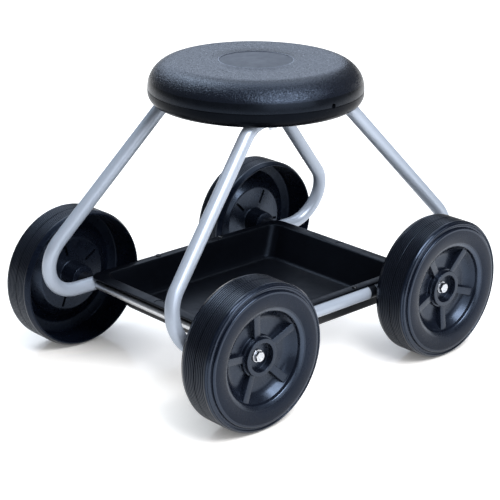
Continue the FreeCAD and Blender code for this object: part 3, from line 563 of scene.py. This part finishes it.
def make_seat():
    bm = bmesh.new()
    lathe(bm, seat_profile(), SEAT_STEPS, closed=False)
    seat = make_object("moulded_seat", bm)
    carve(seat, channel_cutter())
    carve(seat, hole_cutter())
    paint(seat.data, (SEAT_GRAIN, SEAT_DISC, SEAT_BAND_PAINTED_SHADE, SEAT_RIM_PAINTED_SHADE, SEAT_BEAD_PAINTED_GLINT), seat_zone)
    dress(seat, "seat_plastic", "chassis", "seat")


make_seat()


# Side frames
def frame_path():
    """Centre line of one tube loop in its own plane, from one end at the joint to the other."""
    slope = math.degrees(math.atan2(TOP_RUN_RISE - 2 * BEND_RADIUS, RAIL_END - TOP_RUN_END))
    low = (-RAIL_END, BEND_RADIUS)
    high = (-TOP_RUN_END, TOP_RUN_RISE - BEND_RADIUS)
    half = arc(low, BEND_RADIUS, -90, -270 + slope, 40) + arc(high, BEND_RADIUS, 90 + slope, 90, 16)
    other = [(-x, rise) for x, rise in reversed(half)]
    return [(TUBE_START, 0), (-60, 0)] + half + other + [(TUBE_END, 0)]


def make_frames():
    lift = Vector((0, math.sin(LEAN), math.cos(LEAN)))
    across = Vector((0, math.cos(LEAN), -math.sin(LEAN)))
    path = [Vector((x, -RAIL_Y, AXLE_Z)) + lift * rise for x, rise in frame_path()]
    for name, turn in (("right", 0), ("left", 180)):
        outlines = []
        for i, point in enumerate(path):
            ahead = path[min(i + 1, len(path) - 1)] - path[max(i - 1, 0)]
            out = ahead.normalized().cross(across)
            outlines.append([(point + (across * c + out * s) * TUBE_RADIUS) * MM
                             for c, s in turns(TUBE_STEPS)])
        bm = bmesh.new()
        add_solid(bm, outlines)
        bmesh.ops.transform(bm, matrix=Matrix.Rotation(math.radians(turn), 4, "Z"), verts=bm.verts)
        tube = make_object(f"{name}_bent_tube", bm)
        paint(tube.data, (TUBE_PAINT,))
        dress(tube, "silver_tube", "chassis", f"{name}_side_frame")


make_frames()


# Tray
def tray_outside(height):
    """Half length and half width of the outer walls at a height."""
    x = END_WALL_X - (FLANGE_TOP - height) * math.tan(END_DRAFT)
    y = SIDE_WALL_Y - (AXLE_Z - height) * math.tan(SIDE_DRAFT)
    return x, y


def mark_cutter():
    """Round moulding marks in the flanges at both ends of the tray."""
    bm = bmesh.new()
    for end in (-1, 1):
        rings = lathe(bm, [(6.4, FLANGE_TOP - 0.6), (7.0, FLANGE_TOP), (7.6, FLANGE_TOP + 0.6)],
                      SMALL_STEPS, closed=False)
        for ring in rings:
            for vertex in ring:
                vertex.co.x += end * MARK_X * MM
        cap(bm, rings)
    return make_object("mark_cutter", bm)


def make_tray():
    """One shell: underside, flange, inner wall and floor as stacked rounded rectangles."""
    outlines = []

    def level(x, y, corner, height):
        outlines.append(rounded_rectangle(x, y, corner, height))

    x, y = tray_outside(TRAY_UNDER)
    level(x - 6, y - 6, 12, TRAY_UNDER)
    level(x - 2.2, y - 2.2, 15.8, TRAY_UNDER + 0.5)
    level(x - 0.5, y - 0.3, 17.7, TRAY_UNDER + 2.2)
    for height in (70, 90, FLANGE_FLOOR - 1.6):
        level(*tray_outside(height), 18, height)
    x, y = tray_outside(FLANGE_FLOOR)
    level(x + 0.5, y + 0.4, 18.5, FLANGE_FLOOR - 0.4)
    level(x + 1.6, y + 1.4, 19.5, FLANGE_FLOOR)
    for inset, height in ((0.7, 111.6), (0.2, 111.8), (0.0, 112.3),
                          (0.0, 113.4), (0.35, 114.2), (1.2, 114.6)):
        level(FLANGE_X - inset, FLANGE_Y - inset, 18 - inset, height)
    x, y = tray_outside(FLANGE_TOP)
    x, y = x - TRAY_WALL, y - TRAY_WALL
    for out, drop in ((2.6, 0.0), (1.3, 0.2), (0.3, 0.8), (-0.4, 1.7), (-1.2, 3.2)):
        level(x + out, y + out * 0.8, 15 + out, FLANGE_TOP - drop)
    for height in (100, 85):
        x, y = tray_outside(height)
        level(x - TRAY_WALL, y - TRAY_WALL, 15, height)
    foot_x, foot_y = tray_outside(TRAY_FLOOR)
    fillet, fillet_steps, fillet_turn = 9, 8, 70
    for step in range(fillet_steps + 1):
        lean = math.radians(fillet_turn - fillet_turn * step / fillet_steps)
        drop = fillet * (1 - math.cos(lean))
        back = fillet * (1 - math.sin(lean)) - 2.2
        level(foot_x - TRAY_WALL - back + 0.9, foot_y - TRAY_WALL - back,
              max(15 - back, 3), TRAY_FLOOR + drop)
    level(foot_x - 30, foot_y - 30, 6, TRAY_FLOOR)
    bm = bmesh.new()
    add_solid(bm, outlines)
    tray = make_object("moulded_tray", bm)
    carve(tray, mark_cutter())
    paint(tray.data, (TRAY_PLASTIC,))
    dress(tray, "tray_plastic", "chassis", "tray")


make_tray()


# Fasteners
def add_hex_head(bm, across_flats, height, shank, reach):
    """Hex bolt along local Z: chamfered and dished head above zero, shank below it."""
    inner = across_flats / 2
    face = inner * 0.97
    crown_slope, foot_slope = math.tan(math.radians(32)), math.tan(math.radians(18))
    rings = [[], [], [], []]
    for i, (c, s) in enumerate(turns(HEX_STEPS)):
        nearest = (math.tau * i / HEX_STEPS + math.pi / 6) % (math.pi / 3) - math.pi / 6
        reach_out = inner / math.cos(nearest)
        crown = height - max(reach_out - face, 0) * crown_slope
        foot = (reach_out - face) * foot_slope
        for ring, radius, level in zip(rings, (face, reach_out, reach_out, inner * 0.95),
                                       (0.0, foot, crown, height)):
            ring.append(bm.verts.new(Vector((radius * c, radius * s, level)) * MM))
    shank_rings = lathe(bm, [(shank - 0.6, -reach), (shank, -reach + 0.6), (shank, 0.0)],
                        HEX_STEPS, closed=False)
    add_rings(bm, shank_rings[-1:] + rings)
    bm.faces.new(shank_rings[0])
    dish = lathe(bm, [(inner * 0.6, height), (inner * 0.55, height - 0.25), (0, height - 0.25)],
                 HEX_STEPS, closed=False)
    add_rings(bm, [rings[-1], dish[0]])


def add_washer(bm, outer, hole, thickness):
    section = round_corners([(hole, 0, 0.2), (outer, 0, 0.3),
                             (outer, thickness, 0.45), (hole, thickness, 0.3)], steps=3)
    lathe(bm, section, WASHER_STEPS)


def group(name, slot, node, places, build, material, angle=SHARP_ANGLE):
    """One piece with a copy of the shape at each place."""
    bm = bmesh.new()
    for place in places:
        start = len(bm.verts)
        build(bm)
        bm.verts.ensure_lookup_table()
        bmesh.ops.transform(bm, matrix=place, verts=bm.verts[start:])
    piece = make_object(name, bm, angle)
    paint(piece.data, (material,))
    dress(piece, slot, "chassis", node)


corners = [(end, side) for end in (-1, 1) for side in (-1, 1)]
bolt_turns = dict(zip(corners, (12, 40, 25, 5)))
group("hub_bolts", "zinc_steel", "axle_bolts",
      [outward(end * AXLE_X, side * HUB_BOLT_Y, bolt_turns[end, side]) for end, side in corners],
      lambda bm: add_hex_head(bm, across_flats=13, height=5.3, shank=4, reach=20),
      ZINC, HEX_SHARP_ANGLE)
group("hub_washers", "zinc_steel", "axle_washers",
      [outward(end * AXLE_X, side * HUB_WASHER_Y, 0) for end, side in corners],
      lambda bm: add_washer(bm, outer=8.75, hole=4.2, thickness=1.6), ZINC)
group("under_seat_bolts", "zinc_steel", "seat_bolts",
      [downward(end * SEAT_BOLT_X, side * TOP_RUN_Y, SEAT_BOLT_LEVEL) for end, side in corners],
      lambda bm: add_hex_head(bm, across_flats=10, height=4, shank=3, reach=22),
      ZINC, HEX_SHARP_ANGLE)
group("under_seat_washers", "zinc_steel", "seat_washers",
      [downward(end * SEAT_BOLT_X, side * TOP_RUN_Y, SEAT_WASHER_LEVEL) for end, side in corners],
      lambda bm: add_washer(bm, outer=7, hole=3.1, thickness=1.2), ZINC)


def add_screw(bm):
    """Low pan-head screw with a cross recess."""
    cross_reach, arm_half_width = 2.15, 0.42
    profile = [(1.5, -9.0), (1.9, -8.2), (1.9, 0.0), (4.0, 0.0),
               (4.0, 0.5), (3.85, 1.1), (3.3, 1.7), (2.3, 2.1)]
    rings = lathe(bm, profile, SMALL_STEPS, closed=False)
    bm.faces.new(rings[0])
    cross = []
    for c, s in turns(SMALL_STEPS):
        radius = min(cross_reach, arm_half_width / max(min(abs(s), abs(c)), 0.05))
        cross.append((radius * c, radius * s))
    recess = []
    for level, scale in ((2.12, 1.0), (1.0, 0.72)):
        recess.append([bm.verts.new(Vector((x * scale, y * scale, level)) * MM) for x, y in cross])
    add_rings(bm, [rings[-1]] + recess)
    bm.faces.new(recess[-1])


group("tray_fixing_screws", "black_steel", "tray_screws",
      [Matrix.Translation(Vector((end * SCREW_X, side * SCREW_Y, FLANGE_TOP)) * MM)
       for end, side in corners],
      add_screw, SCREW_STEEL)


# CAD nodes that keep their own shape
kept = {"seat_inserts": BRASS, "right_rail_joint": BLACK_PLASTIC, "left_rail_joint": BLACK_PLASTIC,
        "front_axle": AXLE_STEEL, "rear_axle": AXLE_STEEL, "wheel_spacers": BLACK_PLASTIC,
        "front_right_bush": BLACK_PLASTIC, "front_left_bush": BLACK_PLASTIC,
        "rear_right_bush": BLACK_PLASTIC, "rear_left_bush": BLACK_PLASTIC}
for name, material in kept.items():
    paint(bpy.data.objects[name].data, (material,))


# Floor, lights and camera
def make_floor():
    """White to the camera and in reflections; its glow is dimmed round each wheel's contact, a
    painted shadow under the wheels.
    """
    half_width = 12
    bm = bmesh.new()
    outline = ((-half_width, -half_width), (half_width, -half_width),
               (half_width, half_width), (-half_width, half_width))
    bm.faces.new([bm.verts.new((x, y, 0)) for x, y in outline])
    floor = make_object("studio_floor", bm)
    made = Surface("studio_floor")
    made.set(Base_Color=(0.82, 0.79, 0.755, 1), Roughness=0.16, Specular_IOR_Level=0.12)
    rays = made.tree.nodes.new("ShaderNodeLightPath")
    seen = made.combine(rays.outputs["Is Camera Ray"], rays.outputs["Is Glossy Ray"], "MAXIMUM")
    seen = made.combine(seen, rays.outputs["Is Transmission Ray"], "MAXIMUM")

    def vector_math(operation, vector):
        node = made.tree.nodes.new("ShaderNodeVectorMath")
        node.operation = operation
        made.link(vector, node.inputs[0])
        return node

    folded = vector_math("ABSOLUTE", made.place)
    from_wheel = vector_math("SUBTRACT", folded.outputs["Vector"])
    from_wheel.inputs[1].default_value = (AXLE_X * MM, WHEEL_Y * MM, 0)
    wheel_reach = vector_math("LENGTH", from_wheel.outputs["Vector"]).outputs["Value"]
    middle_reach = vector_math("LENGTH", made.place).outputs["Value"]
    # Painted shadow: the glow falls to 0.09 at each wheel's contact, so the floor is darker there
    # whatever the lamps do.
    glow_painted_dark_at_wheels = made.spread(wheel_reach, low=0.09, high=0.64, start=0.02, end=0.14)
    far = made.spread(middle_reach, low=0.0, high=1.0, start=0.45, end=1.1)
    glow = made.combine(glow_painted_dark_at_wheels, far, "MAXIMUM")
    made.link(made.combine(seen, glow, "MULTIPLY"), made.shader.inputs["Emission Strength"])
    made.set(Emission_Color=(1, 1, 1, 1))
    floor.data.materials.append(made.material)


make_floor()


def softbox(name, place, aim, width, height, power, colour=(1, 1, 1)):
    lamp = bpy.data.lights.new(name, "AREA")
    lamp.shape = "RECTANGLE"
    lamp.size, lamp.size_y = width, height
    lamp.energy = power
    lamp.color = colour
    made = bpy.data.objects.new(name, lamp)
    made.location = place
    made.rotation_euler = (Vector(aim) - Vector(place)).to_track_quat("-Z", "Y").to_euler()
    bpy.context.scene.collection.objects.link(made)


softbox("top_softbox", (0.5, 0.5, 2.05), (0, 0, 0.3), 1.7, 1.7, 22, (0.80, 0.89, 1.0))
softbox("rear_softbox", (-0.15, 1.25, 1.85), (0, 0, 0.15), 1.0, 0.6, 16, (0.80, 0.90, 1.0))
softbox("key_softbox", (-0.14, -1.36, 1.74), (0, 0, 0.25), 1.3, 0.9, 56, (0.95, 0.97, 1.0))
softbox("fill_softbox", (-0.3, -2.1, 1.0), (0, 0, 0.25), 2.2, 1.0, 14, (0.95, 0.97, 1.0))
softbox("back_softbox", (1.16, 1.88, 1.25), (0, 0, 0.4), 2.2, 0.9, 12, (0.70, 0.81, 1.0))

world = bpy.data.worlds.new("studio_world")
world.use_nodes = True
background = world.node_tree.nodes["Background"]
background.inputs["Color"].default_value = (0.92, 0.96, 1.0, 1)
background.inputs["Strength"].default_value = 0.16
bpy.context.scene.world = world
bpy.context.scene.view_settings.view_transform = "Standard"

camera = bpy.data.objects.new("photo_camera", bpy.data.cameras.new("photo_camera"))
camera.data.sensor_width = 36.0
camera.data.lens = 112.42
eye, target = Vector((-1449.1, -1538.6, 921.4)) * MM, Vector((-4.4, 4.1, 147.3)) * MM
aimed = (target - eye).to_track_quat("-Z", "Y").to_matrix().to_4x4()
roll = Matrix.Rotation(math.radians(0.526), 4, "Z")
camera.matrix_world = Matrix.Translation(eye) @ aimed @ roll
camera.data.clip_end = 50
bpy.context.scene.collection.objects.link(camera)
bpy.context.scene.camera = camera
